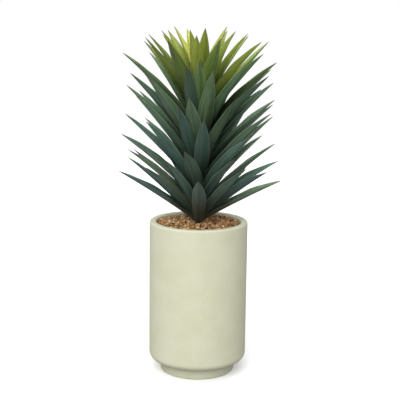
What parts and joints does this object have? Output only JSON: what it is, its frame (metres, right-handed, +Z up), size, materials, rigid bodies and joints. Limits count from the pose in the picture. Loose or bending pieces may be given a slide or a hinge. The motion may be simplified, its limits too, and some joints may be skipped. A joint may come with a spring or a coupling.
{
  "type": "potted agave in a tall vase",
  "caption": "Upright leafy agave-like plant with a spiral of sword leaves, rooted in gravel-topped soil in a tall round footed vase.",
  "frame": {"origin": "middle of the vase's foot, on the surface it stands on", "axes": "+Z up along the vase's axis and the stem; -Y is the side shown to a viewer"},
  "size_m": [0.3888, 0.367, 0.8445],
  "materials": {
    "vase_body": "matte",
    "soil": "matte",
    "gravel": "matte",
    "stem_bark": "matte",
    "old_leaf": "satin",
    "mature_leaf": "satin",
    "young_leaf": "satin",
    "crown_leaf": "satin"
  },
  "bodies": {
    "root": {"vase": "vase_body", "potting_soil": "soil", "gravel_top_dressing": "gravel", "stem": "stem_bark", "leaf_01": "old_leaf", "leaf_02": "old_leaf", "leaf_03": "old_leaf", "leaf_04": "old_leaf", "leaf_05": "old_leaf", "leaf_06": "old_leaf", "leaf_07": "old_leaf", "leaf_08": "old_leaf", "leaf_09": "old_leaf", "leaf_10": "old_leaf", "leaf_11": "old_leaf", "leaf_12": "old_leaf", "leaf_13": "old_leaf", "leaf_14": "old_leaf", "leaf_15": "old_leaf", "leaf_16": "old_leaf", "leaf_17": "old_leaf", "leaf_18": "old_leaf", "leaf_19": "old_leaf", "leaf_20": "old_leaf", "leaf_21": "old_leaf", "leaf_22": "old_leaf", "leaf_23": "mature_leaf", "leaf_24": "mature_leaf", "leaf_25": "mature_leaf", "leaf_26": "mature_leaf", "leaf_27": "mature_leaf", "leaf_28": "mature_leaf", "leaf_29": "mature_leaf", "leaf_30": "mature_leaf", "leaf_31": "mature_leaf", "leaf_32": "mature_leaf", "leaf_33": "mature_leaf", "leaf_34": "mature_leaf", "leaf_35": "mature_leaf", "leaf_36": "mature_leaf", "leaf_37": "mature_leaf", "leaf_38": "mature_leaf", "leaf_39": "mature_leaf", "leaf_40": "mature_leaf", "leaf_41": "mature_leaf", "leaf_42": "young_leaf", "leaf_43": "young_leaf", "leaf_44": "young_leaf", "leaf_45": "young_leaf", "leaf_46": "young_leaf", "leaf_47": "young_leaf", "leaf_48": "young_leaf", "leaf_49": "crown_leaf", "leaf_50": "crown_leaf", "leaf_51": "crown_leaf", "leaf_52": "crown_leaf", "leaf_53": "crown_leaf", "leaf_54": "crown_leaf", "leaf_55": "crown_leaf", "leaf_56": "crown_leaf"}
  },
  "joints": []
}
